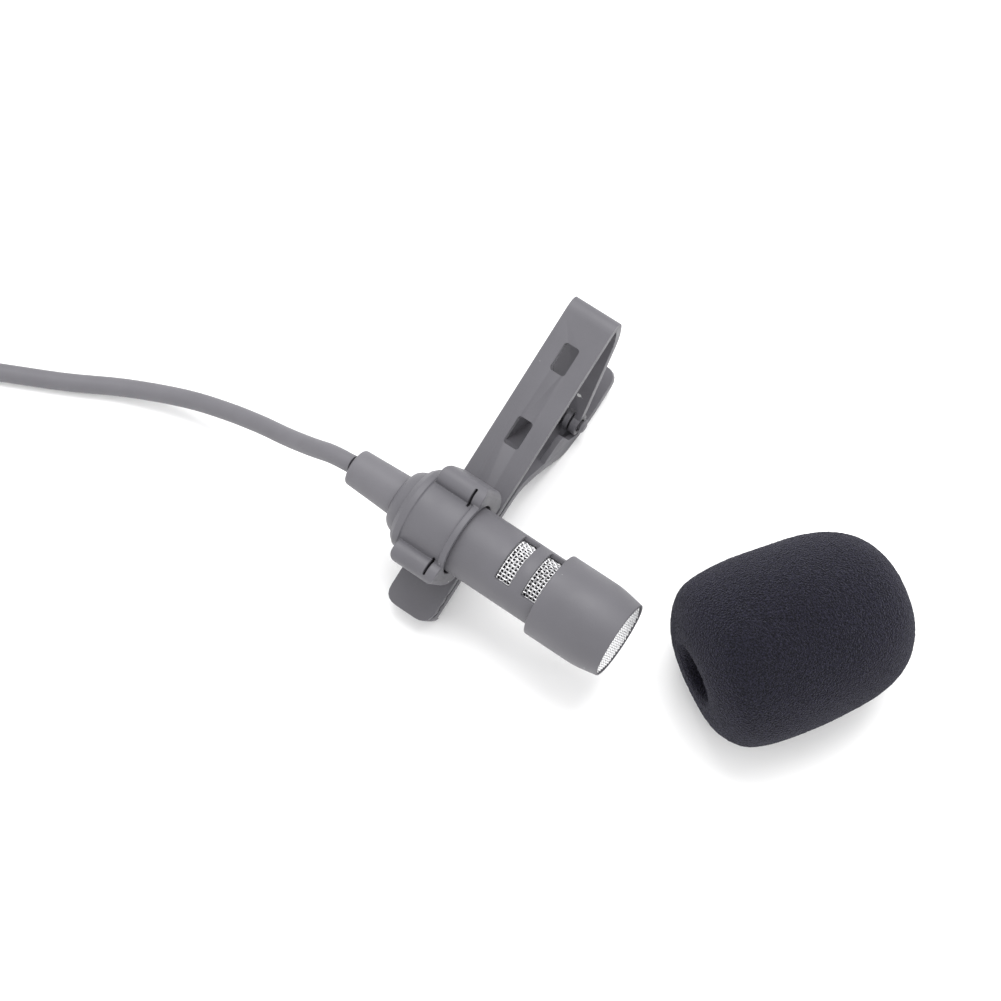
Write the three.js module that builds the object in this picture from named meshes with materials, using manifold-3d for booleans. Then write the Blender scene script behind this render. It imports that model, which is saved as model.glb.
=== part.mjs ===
// Clip-on lavalier microphone with its cord, lapel clip and foam windscreen.
// Millimetres, +Z up. +X runs along the microphone towards its nose, +Y along the clip towards its
// spring end. The origin is under the clip's heel, on the surface that the clip stands on.
import * as THREE from 'three';
import { mergeVertices } from 'three/addons/utils/BufferGeometryUtils.js';
import Module from 'manifold-3d';

const wasm = await Module();
wasm.setup();

// ---- driving dimensions ---------------------------------------------------------------------
const GAP = 0.3; // clearance between neighbouring pieces

const AXIS_HEIGHT = 13.5; // microphone axis above the table
const HEEL_Y = 24.3; // from the microphone axis to the clip's heel, along Y

const BARREL_RADIUS = 4.525;
const BARREL_BORE = 3.93;
const BARREL_BACK = -6.6;
const BARREL_FRONT = 16.6;
const PORT_ROWS = [9.3, 13.1]; // back edge of each row of sound windows
const PORT_LENGTH = 2.1;
const PORTS_PER_ROW = 2;
const PORT_SPAN = THREE.MathUtils.degToRad(101);
const PORT_LEAN = THREE.MathUtils.degToRad(-5); // the first window leans towards +Y

const CAP_RADIUS = 5.5;
const CAP_BACK = 15.25;
const CAP_TAPER = 22.35;
const CAP_FRONT = 25.4;
const NOSE_RADIUS = 4.95;
const NOSE_BORE = 4.65;

const CORD_RADIUS = 1.2;
const RELIEF_BACK = -13.7;

const CLIP_TILT = THREE.MathUtils.degToRad(22); // the clip stands on its heel, jaws down
const CLIP_WIDTH = 6.65;
const AXIS_OVER_PLATE = 5.9; // microphone axis above the clip's top face
const PLATE = 1.2; // upper jaw's sheet
const LEVER = 1.4; // lower jaw's sheet
const JAW_TIP = -12.2; // along the clip, from the microphone axis
const LEVER_END = 27.1;
const PIVOT = new THREE.Vector2(18.8, -13.1); // along and above the clip's top face
const KNUCKLE_RADIUS = 1.45;
const PIN_RADIUS = 0.6;

const HOLDER_BACK = -5;
const HOLDER_FRONT = 3.2;
const HOLDER_RADIUS = 5.6;
const LOBE_BACK = -3.2;
const LOBE_CENTRE = 5.3; // from the microphone axis, along the clip
const LOBE_RISE = 2.6; // above the microphone axis
const LOBE_RADIUS = 1.5;

const FOAM_LENGTH = 27.5;
const FOAM_RADIUS = 11.3;
const FOAM_MOUTH = 8.9;
const FOAM_WIDEST = 10.7; // from the mouth
const FOAM_EDGE = 3.6; // rounding of the mouth's edge
const DOME_FULLNESS = 2 / 2.9; // 1 is a round dome, less is squarer
const FOAM_BORE = 3.6; // relaxed: it stretches over the head
const FOAM_BORE_DEPTH = 16;
const FOAM_PLACE = new THREE.Vector2(34.6, 2); // middle of the mouth, from the microphone axis
const FOAM_TURN = THREE.MathUtils.degToRad(57.9);

const COIL_CENTRE = new THREE.Vector2(-96.4, -8.2);
const COIL_INNER = 8.8;
const COIL_OUTER = 19.4;
const COIL_HEIGHT = 10.4;
const TIE_ANGLE = THREE.MathUtils.degToRad(100);
const TIE_WIDTH = 6;
const TIE_THICKNESS = 0.6;

const PLUG_X = COIL_CENTRE.x - 25.2; // the plug lies beside the coil, pointing along +Y
const PLUG_HEIGHT = 3.7;
const PLUG_START = -21;
const PLUG_PIN_RADIUS = 1.75;

// ---- materials ------------------------------------------------------------------------------
function finish(color, roughness, metalness) {
  return new THREE.MeshStandardMaterial({ color, roughness, metalness });
}

const PAINT = finish('#7f7e83', 0.5, 0.35);
const CORD_SKIN = finish('#7d7c81', 0.6, 0);
const FOAM = finish('#2a2834', 0.95, 0);
const WIRE_MESH = finish('#c9c9cc', 0.35, 0.9);
const STEEL = finish('#a9abad', 0.35, 0.9);
const RUBBER = finish('#26262a', 0.8, 0);
const FELT = finish('#1f1f22', 0.95, 0);
const BOARD = finish('#2f6b45', 0.55, 0);
const GOLD = finish('#c9a961', 0.25, 1);
const BLACK_PLASTIC = finish('#1c1c1f', 0.5, 0);
const RED_SLEEVE = finish('#9c2f2b', 0.5, 0);

// ---- helpers --------------------------------------------------------------------------------
// A closed, outward-facing copy of a geometry, with only its positions.
function closed(geometry) {
  const bare = new THREE.BufferGeometry();
  bare.setAttribute('position', geometry.getAttribute('position').clone());
  if (geometry.index) bare.setIndex(geometry.index.clone());
  const merged = mergeVertices(bare, 1e-4);
  const place = merged.getAttribute('position');
  const corners = merged.index.array;
  const faces = [];
  const [a, b, c] = [new THREE.Vector3(), new THREE.Vector3(), new THREE.Vector3()];
  let volume = 0;
  for (let i = 0; i < corners.length; i += 3) {
    const [p, q, r] = [corners[i], corners[i + 1], corners[i + 2]];
    if (p === q || q === r || r === p) continue;
    faces.push([p, q, r]);
    a.fromBufferAttribute(place, p);
    b.fromBufferAttribute(place, q);
    c.fromBufferAttribute(place, r);
    volume += a.dot(b.cross(c));
  }
  merged.setIndex(faces.flatMap(([p, q, r]) => (volume > 0 ? [p, q, r] : [p, r, q])));
  return merged;
}

function solid(geometry) {
  const body = closed(geometry);
  const vertProperties = new Float32Array(body.getAttribute('position').array);
  const triVerts = new Uint32Array(body.index.array);
  return new wasm.Manifold(new wasm.Mesh({ numProp: 3, vertProperties, triVerts }));
}

function surface(manifold) {
  const { vertProperties, triVerts } = manifold.getMesh();
  const geometry = new THREE.BufferGeometry();
  geometry.setAttribute('position', new THREE.Float32BufferAttribute(vertProperties, 3));
  geometry.setIndex(Array.from(triVerts));
  return geometry;
}

function join(base, ...others) {
  return surface(others.reduce((whole, other) => whole.add(solid(other)), solid(base)));
}

function cut(base, ...tools) {
  return surface(tools.reduce((left, tool) => left.subtract(solid(tool)), solid(base)));
}

function keep(base, limit) {
  return surface(solid(base).intersect(solid(limit)));
}

function piece(name, geometry, material) {
  const mesh = new THREE.Mesh(closed(geometry), material);
  mesh.name = name;
  return mesh;
}

// Turned piece about X: the profile is a list of [x, radius].
function turned(profile, segments = 40) {
  const outline = profile.map(([x, radius]) => new THREE.Vector2(radius, x));
  return new THREE.LatheGeometry(outline, segments).rotateZ(-Math.PI / 2);
}

// Tube between two stations along X.
function sleeve(from, to, inner, outer, segments = 40) {
  return turned([[from, inner], [from, outer], [to, outer], [to, inner], [from, inner]], segments);
}

function rod(from, to, radius, segments = 24) {
  return turned([[from, 0], [from, radius], [to, radius], [to, 0]], segments);
}

// Block from one corner to the other.
function block([x0, y0, z0], [x1, y1, z1]) {
  const box = new THREE.BoxGeometry(x1 - x0, y1 - y0, z1 - z0);
  return box.translate((x0 + x1) / 2, (y0 + y1) / 2, (z0 + z1) / 2);
}

// Section drawn in the Y-Z plane, pushed out along X.
function pressed(shape, from, to, curveSegments = 8) {
  const settings = { depth: to - from, bevelEnabled: false, curveSegments };
  const geometry = new THREE.ExtrudeGeometry(shape, settings);
  const turn = new THREE.Matrix4().makeBasis(
    new THREE.Vector3(0, 1, 0), new THREE.Vector3(0, 0, 1), new THREE.Vector3(1, 0, 0),
  );
  return geometry.applyMatrix4(turn).translate(from, 0, 0);
}

function polygon(points) {
  return new THREE.Shape(points.map(([x, y]) => new THREE.Vector2(x, y)));
}

function roundedRectangle(x0, y0, x1, y1, radius) {
  const shape = new THREE.Shape();
  shape.moveTo(x0 + radius, y0);
  shape.absarc(x1 - radius, y0 + radius, radius, -Math.PI / 2, 0);
  shape.absarc(x1 - radius, y1 - radius, radius, 0, Math.PI / 2);
  shape.absarc(x0 + radius, y1 - radius, radius, Math.PI / 2, Math.PI);
  shape.absarc(x0 + radius, y0 + radius, radius, Math.PI, 1.5 * Math.PI);
  return shape;
}

// Section drawn in the X-Y plane, pushed up along Z.
function upright(shape, from, to) {
  const settings = { depth: to - from, bevelEnabled: false, curveSegments: 5 };
  return new THREE.ExtrudeGeometry(shape, settings).translate(0, 0, from);
}

// Outline of a bent strip: corners joined by straight runs, each bend eased over its own reach.
function bentStrip(corners, thickness) {
  const path = new THREE.Path();
  const spot = corners.map(([x, y]) => new THREE.Vector2(x, y));
  path.moveTo(spot[0].x, spot[0].y);
  for (let i = 1; i < spot.length - 1; i += 1) {
    const reach = corners[i][2];
    const before = spot[i - 1].clone().sub(spot[i]).setLength(reach).add(spot[i]);
    const after = spot[i + 1].clone().sub(spot[i]).setLength(reach).add(spot[i]);
    path.lineTo(before.x, before.y);
    path.quadraticCurveTo(spot[i].x, spot[i].y, after.x, after.y);
  }
  path.lineTo(spot.at(-1).x, spot.at(-1).y);
  const line = path.getPoints(6).filter((p, i, all) => i === 0 || p.distanceTo(all[i - 1]) > 1e-6);
  const side = (sign) => line.map((p, i) => {
    const run = line[Math.min(i + 1, line.length - 1)].clone().sub(line[Math.max(i - 1, 0)]).normalize();
    return new THREE.Vector2(p.x - sign * run.y * thickness / 2, p.y + sign * run.x * thickness / 2);
  });
  return new THREE.Shape([...side(1), ...side(-1).reverse()]);
}

// Round tube along points, at its full length.
function tube(points, radius, steps, sides = 8) {
  const section = new THREE.Shape(Array.from({ length: sides }, (_, i) => {
    const angle = (i / sides) * 2 * Math.PI;
    return new THREE.Vector2(radius * Math.cos(angle), radius * Math.sin(angle));
  }));
  const extrudePath = new THREE.CatmullRomCurve3(points, false, 'centripetal');
  return new THREE.ExtrudeGeometry(section, { steps, bevelEnabled: false, extrudePath });
}

// ---- microphone, about its own axis ---------------------------------------------------------
function barrel() {
  const shell = turned([
    [BARREL_BACK, 2.4], [BARREL_BACK, 3.05], [-6.3, 3.3], [-5.7, 3.75], [-5, 4.15], [-4.2, 4.42],
    [-3.4, BARREL_RADIUS], [BARREL_FRONT, BARREL_RADIUS], [BARREL_FRONT, BARREL_BORE],
    [-3.3, BARREL_BORE], [-4.2, 3.5], [-5.5, 3.5], [-5.5, 2.4], [BARREL_BACK, 2.4],
  ], 48);
  const windows = [];
  for (const row of PORT_ROWS) {
    for (let i = 0; i < PORTS_PER_ROW; i += 1) {
      const middle = Math.PI / 2 + PORT_LEAN + (i / PORTS_PER_ROW) * 2 * Math.PI;
      const wedge = new THREE.Shape();
      const reach = BARREL_RADIUS + 1;
      wedge.absarc(0, 0, reach, middle - PORT_SPAN / 2, middle + PORT_SPAN / 2);
      wedge.absarc(0, 0, BARREL_BORE - 0.6, middle + PORT_SPAN / 2, middle - PORT_SPAN / 2, true);
      windows.push(pressed(wedge, row, row + PORT_LENGTH, 8));
    }
  }
  return piece('barrel', cut(shell, ...windows), PAINT);
}

function portMesh() {
  const outer = BARREL_BORE - GAP;
  return piece('port_mesh', sleeve(PORT_ROWS[0] - 1.4, BARREL_FRONT - GAP, outer - 0.3, outer), WIRE_MESH);
}

function cap() {
  const shell = turned([
    [CAP_BACK, BARREL_RADIUS + GAP], [CAP_BACK, CAP_RADIUS - 0.15], [CAP_BACK + 0.2, CAP_RADIUS],
    [CAP_TAPER, CAP_RADIUS], [CAP_FRONT - 0.15, NOSE_RADIUS], [CAP_FRONT, NOSE_RADIUS - 0.15],
    [CAP_FRONT, NOSE_BORE], [23.4, NOSE_BORE], [23.4, 3.6], [22.9, 3.6],
    [22.9, BARREL_RADIUS + GAP], [CAP_BACK, BARREL_RADIUS + GAP],
  ], 48);
  return piece('cap', shell, PAINT);
}

const frontMesh = () => piece('front_mesh', rod(24.9, 25.25, NOSE_BORE - GAP, 40), WIRE_MESH);
const feltDisc = () => piece('felt_disc', rod(23.7, 24.35, NOSE_BORE - GAP, 32), FELT);
const capsule = () => piece('capsule', rod(17.4, 22.4, 3, 32), STEEL);
const capsuleBoot = () => piece('capsule_boot', sleeve(17.7, 22.3, 3 + GAP, BARREL_RADIUS, 32), RUBBER);

function preampBoard() {
  const board = join(
    block([-1.6, -2.5, -0.4], [10.4, 2.5, 0.4]),
    block([1, -1.4, 0.3], [4, 1.4, 1.5]),
    block([6, -2, 0.3], [7.6, -1, 1]),
    block([6, 0.6, 0.3], [8.2, 1.8, 1.1]),
  );
  return piece('preamp_board', board, BOARD);
}

function lead(name, side, material) {
  const bends = [[10.7, 1.2], [12.2, 1.9], [14.6, 1.7], [17.1, 0.9]];
  const route = bends.map(([x, y]) => new THREE.Vector3(x, side * y, 0));
  return piece(name, tube(route, 0.35, 12, 6), material);
}

const cordClamp = () => piece('cord_clamp', sleeve(-3.9, -2.6, CORD_RADIUS + GAP, 2.7, 24), STEEL);
const cordEnd = () => piece('cord_end', rod(RELIEF_BACK + GAP, -2, CORD_RADIUS, 16), CORD_SKIN);

function strainRelief() {
  const bore = CORD_RADIUS + GAP;
  const profile = [
    [RELIEF_BACK, bore], [RELIEF_BACK, 2.1], [RELIEF_BACK + 0.25, 2.4], [BARREL_BACK - GAP, 2.65],
    [BARREL_BACK - GAP, 2.1], [-5.5 + GAP, 2.1], [-5.5 + GAP, 3], [-4.4, 3], [-4.4, bore],
    [RELIEF_BACK, bore],
  ];
  return piece('strain_relief', turned(profile, 32), CORD_SKIN);
}

function microphone() {
  const group = new THREE.Group();
  group.add(
    barrel(), portMesh(), cap(), frontMesh(), feltDisc(), capsule(), capsuleBoot(), preampBoard(),
    lead('signal_lead', 1, RED_SLEEVE), lead('ground_lead', -1, BLACK_PLASTIC),
    cordClamp(), cordEnd(), strainRelief(),
  );
  group.position.z = AXIS_HEIGHT;
  return group;
}

// ---- clip: Y runs along its top face, which is Z = 0 under the microphone ---------------------
function holder() {
  const floor = GAP - AXIS_OVER_PLATE;
  const ring = turned([
    [HOLDER_BACK, 0], [HOLDER_BACK, 4.75], [HOLDER_BACK + 0.8, HOLDER_RADIUS - 0.15],
    [-3.4, HOLDER_RADIUS - 0.15], [-3.3, HOLDER_RADIUS - 0.3], [2.3, HOLDER_RADIUS - 0.3],
    [2.4, HOLDER_RADIUS], [HOLDER_FRONT, HOLDER_RADIUS], [HOLDER_FRONT, 0],
  ], 40);
  const plan = upright(roundedRectangle(LOBE_BACK, -7, HOLDER_FRONT, 7, 1.3), -10, 10);
  const lobes = [-1, 1].map((side) => {
    const lobe = new THREE.Shape();
    const [near, far] = [LOBE_CENTRE - LOBE_RADIUS, LOBE_CENTRE + LOBE_RADIUS];
    lobe.moveTo(near, floor);
    lobe.lineTo(far - 1.6, floor);
    lobe.lineTo(far, floor + 2.2);
    lobe.absarc(LOBE_CENTRE, LOBE_RISE, LOBE_RADIUS, 0, Math.PI);
    const bar = pressed(lobe, LOBE_BACK, HOLDER_FRONT, 10);
    return keep(side > 0 ? bar : bar.scale(1, -1, 1), plan);
  });
  const foot = block([HOLDER_BACK, -LOBE_CENTRE, floor], [HOLDER_FRONT, LOBE_CENTRE, floor + 2]);
  const slits = [3.6, -6.1].map((y) => block([1.6, y, 0], [1.9, y + 2.5, 8]));
  const bore = rod(HOLDER_BACK - 1, HOLDER_FRONT + 1, BARREL_RADIUS + GAP, 40);
  const rivetHole = rod(-2, 2, 1.45).rotateY(-Math.PI / 2).translate(0, 0, floor);
  const body = cut(join(ring, foot, ...lobes), bore, ...slits, rivetHole);
  return piece('holder', body.translate(0, 0, AXIS_OVER_PLATE), PAINT);
}

function swivelRivet() {
  const profile = [[-1.1, 0], [-1.1, 2.1], [-0.75, 2.1], [-0.75, 1.15], [1, 1.15], [1, 0]];
  const rivet = turned(profile, 24).rotateY(-Math.PI / 2);
  return piece('swivel_rivet', rivet, STEEL);
}

const onPivot = (radius, from, to) => rod(from, to, radius, 24).translate(0, PIVOT.x, PIVOT.y);
const TOOTH_PLACES = [-11, -9.4, -7.8];

function upperJaw() {
  const half = CLIP_WIDTH / 2;
  const strip = pressed(bentStrip([
    [JAW_TIP, -PLATE / 2], [32.15, -PLATE / 2, 2.2], [30.4, -4.6, 1.6], [19.4, -12.3],
  ], PLATE), -half, half);
  const knuckle = onPivot(KNUCKLE_RADIUS, -half, half);
  const plan = upright(roundedRectangle(-half, JAW_TIP, half, 60, 1.6), -30, 10);
  const windows = [12.1, 22.8].map((start) => block([-1.1, start, -PLATE - 1], [1.1, start + 3.9, 1]));
  const leverSlot = block([-2.35, PIVOT.x - 4, PIVOT.y - 3], [2.35, PIVOT.x + 2.4, PIVOT.y + 2]);
  const groove = (y) => polygon([[y - 0.8, -1.3], [y + 0.8, -1.3], [y, -0.55]]);
  const grooves = TOOTH_PLACES.map((y) => pressed(groove(y), -5, 5));
  const rivetHole = turned([[-2, 0], [-2, 2.4], [-0.45, 2.4], [-0.45, 1.45], [1, 1.45], [1, 0]], 24);
  const holes = [onPivot(PIN_RADIUS + GAP, -5, 5), ...windows, ...grooves, rivetHole.rotateY(-Math.PI / 2)];
  const body = cut(keep(join(strip, knuckle), plan), leverSlot, ...holes);
  return piece('upper_jaw', body, PAINT);
}

function lowerJaw() {
  const half = CLIP_WIDTH / 2;
  const strip = pressed(bentStrip([
    [JAW_TIP, -PLATE - GAP - LEVER / 2], [8.2, -2.6, 2.6], [11.4, -7, 1.6], [15, -14.05, 1.4],
    [19.9, -16.1, 1.6], [LEVER_END, -16.1],
  ], LEVER), -half, half);
  const lip = block([-half, JAW_TIP, -4.2], [half, JAW_TIP + 1.1, -2]);
  const tooth = (y) => polygon([[y - 0.5, -1.6], [y + 0.5, -1.6], [y, -1.05]]);
  const teeth = TOOTH_PLACES.map((y) => pressed(tooth(y), -half, half));
  const ears = [-1, 1].map((side) => {
    const ear = new THREE.Shape();
    ear.moveTo(15.6, -14.3);
    ear.lineTo(20.6, -16.1);
    ear.absarc(PIVOT.x, PIVOT.y, KNUCKLE_RADIUS, 0, Math.PI);
    const [near, far] = side > 0 ? [1.35, 2.05] : [-2.05, -1.35];
    return pressed(ear, near, far, 10);
  });
  const cheek = polygon([
    [11.8, -8], [15, -14.05], [18, -15.2], [16.4, -12.4], [16.4, -8.6], [15.8, -7.8], [13, -7.3],
    [12.2, -7.4],
  ]);
  const cheeks = [pressed(cheek, half - 0.7, half), pressed(cheek, -half, 0.7 - half)];
  const plan = upright(roundedRectangle(-half, JAW_TIP, half, LEVER_END, 1.6), -30, 10);
  const table = block([-20, -60, -40], [20, 60, 0]).rotateX(-CLIP_TILT);
  const drop = AXIS_HEIGHT - AXIS_OVER_PLATE * Math.cos(CLIP_TILT);
  table.translate(0, -drop * Math.sin(CLIP_TILT), -drop * Math.cos(CLIP_TILT));
  const blank = keep(join(strip, lip, ...teeth, ...ears, ...cheeks), plan);
  const body = cut(blank, onPivot(PIN_RADIUS + GAP, -5, 5), table);
  return piece('lower_jaw', body, PAINT);
}

function pivotPin() {
  const [head, end] = [CLIP_WIDTH / 2 + GAP, CLIP_WIDTH / 2 + GAP + 0.45];
  const profile = [
    [-end, 0], [-end, 0.8], [-head, 1.1], [-head, PIN_RADIUS],
    [head, PIN_RADIUS], [head, 1.1], [end, 0.8], [end, 0],
  ];
  return piece('pivot_pin', turned(profile, 24).translate(0, PIVOT.x, PIVOT.y), STEEL);
}

// Torsion spring on the pin: one arm up under the strip, one down on the thumb tab.
function clipSpring() {
  const [wire, radius, turnsEach] = [0.2, 1.22, 12];
  const [up, down] = [THREE.MathUtils.degToRad(43), THREE.MathUtils.degToRad(-26)];
  const [first, last] = [up - Math.PI / 2, down + Math.PI / 2 - 6 * Math.PI];
  const count = Math.round(((first - last) / (2 * Math.PI)) * turnsEach);
  const coil = Array.from({ length: count + 1 }, (_, i) => {
    const angle = first + ((last - first) * i) / count;
    const across = -0.8 + (1.6 * i) / count;
    return new THREE.Vector3(across, PIVOT.x + radius * Math.cos(angle), PIVOT.y + radius * Math.sin(angle));
  });
  const along = (from, angle, reach) => from.clone().add(
    new THREE.Vector3(0, reach * Math.cos(angle), reach * Math.sin(angle)),
  );
  const armUp = [5.6, 2.8].map((reach) => along(coil[0], up, reach));
  const armDown = [3.2, 6.4].map((reach) => along(coil.at(-1), down, reach));
  return piece('clip_spring', tube([...armUp, ...coil, ...armDown], wire, 72, 5), STEEL);
}

function clip() {
  const group = new THREE.Group();
  group.add(holder(), swivelRivet(), upperJaw(), lowerJaw(), pivotPin(), clipSpring());
  group.rotation.x = CLIP_TILT;
  group.position.set(
    0, AXIS_OVER_PLATE * Math.sin(CLIP_TILT), AXIS_HEIGHT - AXIS_OVER_PLATE * Math.cos(CLIP_TILT),
  );
  return group;
}

// ---- foam windscreen, lying on its side ------------------------------------------------------
function windscreen() {
  const flankRadius = (x) => FOAM_RADIUS - (FOAM_RADIUS - FOAM_MOUTH) * (1 - x / FOAM_WIDEST) ** 3;
  const edge = Array.from({ length: 6 }, (_, i) => {
    const angle = (Math.PI / 2) * (i / 6);
    const x = FOAM_EDGE * (1 - Math.cos(angle));
    return [x, flankRadius(x) - FOAM_EDGE * (1 - Math.sin(angle))];
  });
  const flank = Array.from({ length: 6 }, (_, i) => FOAM_EDGE + ((FOAM_WIDEST - FOAM_EDGE) * i) / 6);
  const dome = Array.from({ length: 12 }, (_, i) => {
    const angle = (Math.PI / 2) * (i / 12);
    const length = (FOAM_LENGTH - FOAM_WIDEST) * Math.sin(angle) ** DOME_FULLNESS;
    return [FOAM_WIDEST + length, FOAM_RADIUS * Math.cos(angle) ** DOME_FULLNESS];
  });
  const profile = [
    [FOAM_BORE_DEPTH, 0], [FOAM_BORE_DEPTH, FOAM_BORE], [0.5, FOAM_BORE], [0, FOAM_BORE + 0.5],
    ...edge, ...flank.map((x) => [x, flankRadius(x)]), ...dome, [FOAM_LENGTH, 0],
  ];
  const mesh = piece('foam_windscreen', turned(profile, 44), FOAM);
  mesh.rotation.z = FOAM_TURN;
  mesh.position.set(FOAM_PLACE.x, FOAM_PLACE.y, FOAM_RADIUS);
  return mesh;
}

// ---- cord: free run, coil, tail and plug ------------------------------------------------------
const CORD_ROUTE = [
  [-14, 0, 13.5], [-17.2, -0.1, 12.75], [-20.6, -0.2, 10.75], [-24.6, -0.2, 8.55],
  [-29.2, -0.2, 6.6], [-34.6, -0.7, 4.8], [-40.6, -1.9, 3.2], [-48.3, -4.7, 1.8],
  [-55.6, -8.5, 1.3], [-63.4, -12.3, 1.25], [-72, -16.6, 1.25], [-79.5, -20.7, 1.3],
];
const TAIL_ROUTE = [
  [-100.9, -28.6, 2.7], [-107.2, -30.4, 2.1], [-113.6, -30.9, 2.1], [-119.26, -28.56, 3],
  [-121.6, -22.9, 3.7], [-121.6, -21.3, 3.7],
];

function cordRun(name, route, steps) {
  return piece(name, tube(route.map((p) => new THREE.Vector3(...p)), CORD_RADIUS, steps), CORD_SKIN);
}

// Turned to its place around the coil.
function atCoil(geometry, angle) {
  return geometry.rotateZ(angle).translate(COIL_CENTRE.x, COIL_CENTRE.y, 0);
}

function coilSection(inset) {
  const reach = inset + 0.001;
  return roundedRectangle(COIL_INNER + reach, reach, COIL_OUTER - reach, COIL_HEIGHT - reach, 2.6 - inset);
}

function sectionBar(shape, width) {
  const bar = new THREE.ExtrudeGeometry(shape, { depth: width, bevelEnabled: false, curveSegments: 3 });
  return atCoil(bar.rotateX(Math.PI / 2).translate(0, width / 2, 0), TIE_ANGLE);
}

function cordCoil() {
  const outline = coilSection(0).getPoints(3).map((p) => [p.y, p.x]);
  const ring = turned([...outline, outline[0]], 36).rotateY(-Math.PI / 2);
  const placed = ring.translate(COIL_CENTRE.x, COIL_CENTRE.y, 0);
  const half = TIE_WIDTH / 2 + GAP;
  const band = atCoil(block([COIL_INNER - 2, -half, -2], [COIL_OUTER + 2, half, COIL_HEIGHT + 2]), TIE_ANGLE);
  const waist = sectionBar(coilSection(TIE_THICKNESS + GAP), TIE_WIDTH * 2);
  const groove = cut(band, waist);
  return piece('cord_coil', cut(placed, groove), CORD_SKIN);
}

function coilTie() {
  const outside = sectionBar(coilSection(0), TIE_WIDTH);
  const inside = sectionBar(coilSection(TIE_THICKNESS), TIE_WIDTH * 2);
  return piece('coil_tie', cut(outside, inside), BLACK_PLASTIC);
}

function plugRelief() {
  const bore = CORD_RADIUS + GAP;
  const profile = [[0, bore], [0, 1.9], [0.3, 2.1], [11, 2.9], [11, bore], [0, bore]];
  return piece('plug_relief', turned(profile, 24), CORD_SKIN);
}

function plugCover() {
  const profile = [
    [11.3, 1.5], [11.3, 3.3], [11.9, 3.7], [26.6, 3.7], [27.2, 3.4], [27.2, 1.5], [11.3, 1.5],
  ];
  return piece('plug_cover', turned(profile, 36), PAINT);
}

// One moulded core with a flange between each pair of contacts.
function plugInsulation() {
  const flanges = [32.7, 35.3, 37.9].map((x) => rod(x, x + 0.6, PLUG_PIN_RADIUS, 28));
  return piece('plug_insulation', join(rod(12, 40, 0.8, 20), ...flanges), BLACK_PLASTIC);
}

const contact = (name, from, to) => piece(name, sleeve(from, to, 0.8 + GAP, PLUG_PIN_RADIUS, 28), GOLD);

function plugTip() {
  const profile = [
    [38.8, 1.1], [38.8, PLUG_PIN_RADIUS], [40, PLUG_PIN_RADIUS], [40.6, 1.25], [41.2, 1.7], [42.8, 0.5],
    [43, 0], [40.3, 0], [40.3, 1.1], [38.8, 1.1],
  ];
  return piece('plug_tip', turned(profile, 28), GOLD);
}

function cordInPlug() {
  return piece('plug_cord_end', rod(0.3, 11.6, CORD_RADIUS, 16), CORD_SKIN);
}

function plug() {
  const group = new THREE.Group();
  group.add(
    plugRelief(), plugCover(), plugInsulation(), contact('plug_sleeve', 27.5, 32.4),
    contact('plug_ring_2', 33.6, 35), contact('plug_ring_1', 36.2, 37.6), plugTip(), cordInPlug(),
  );
  group.rotation.z = Math.PI / 2;
  group.position.set(PLUG_X, PLUG_START, PLUG_HEIGHT);
  return group;
}

// ---- whole object -----------------------------------------------------------------------------
const lavalier = new THREE.Group();
lavalier.add(microphone(), clip(), windscreen());
lavalier.add(cordRun('cord_run', CORD_ROUTE, 24), cordCoil(), coilTie());
lavalier.add(cordRun('cord_tail', TAIL_ROUTE, 10), plug());
lavalier.position.y = -HEEL_Y;

export default lavalier;
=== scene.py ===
import math
import bpy
import bmesh
from mathutils import Matrix, Vector, noise


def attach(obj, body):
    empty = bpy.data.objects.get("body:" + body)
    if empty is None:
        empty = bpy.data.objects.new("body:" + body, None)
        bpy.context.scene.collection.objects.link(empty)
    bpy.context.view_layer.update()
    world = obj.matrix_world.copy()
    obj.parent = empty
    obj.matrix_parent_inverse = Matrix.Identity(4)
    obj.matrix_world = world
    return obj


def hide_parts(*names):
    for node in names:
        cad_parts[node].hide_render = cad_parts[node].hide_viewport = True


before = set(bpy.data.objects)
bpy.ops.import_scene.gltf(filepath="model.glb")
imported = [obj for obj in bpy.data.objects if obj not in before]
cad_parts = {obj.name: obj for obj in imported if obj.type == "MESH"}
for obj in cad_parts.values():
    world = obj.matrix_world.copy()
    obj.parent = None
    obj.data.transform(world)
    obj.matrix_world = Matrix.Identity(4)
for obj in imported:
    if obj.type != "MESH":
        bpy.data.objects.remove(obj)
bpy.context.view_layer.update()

# ---- Camera, light and table ------------------------------------------------------------------
# The set: a long lens looking steeply down on a white table, one broad soft light beyond the
# microphone and a pale room all round it.
MM = 0.001
azimuth, elevation = math.radians(35.2), math.radians(67.7)
camera = bpy.data.objects.new("camera", bpy.data.cameras.new("camera"))
camera.data.lens = 79.12
camera.data.sensor_width = 36
camera.data.clip_start = 0.01
camera.location = Vector((62.08, -100.84, 261.4)) * MM
camera.rotation_euler = (math.pi / 2 - elevation, 0, azimuth)
bpy.context.scene.collection.objects.link(camera)
bpy.context.scene.camera = camera
bpy.context.scene.view_settings.view_transform = "Standard"

world = bpy.data.worlds.new("room")
world.use_nodes = True
world.node_tree.nodes["Background"].inputs["Color"].default_value = (1, 1, 1, 1)
world.node_tree.nodes["Background"].inputs["Strength"].default_value = 1.35
bpy.context.scene.world = world


def soft_light(name, place, aim, size, power):
    light = bpy.data.lights.new(name, "AREA")
    light.size = size
    light.energy = power
    lamp = bpy.data.objects.new(name, light)
    lamp.location = place
    lamp.rotation_euler = (Vector(aim) - Vector(place)).to_track_quat("-Z", "Y").to_euler()
    bpy.context.scene.collection.objects.link(lamp)


soft_light("window_light", (-0.04, 0.2, 0.62), (0, 0, 0), 0.4, 3.2)


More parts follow.
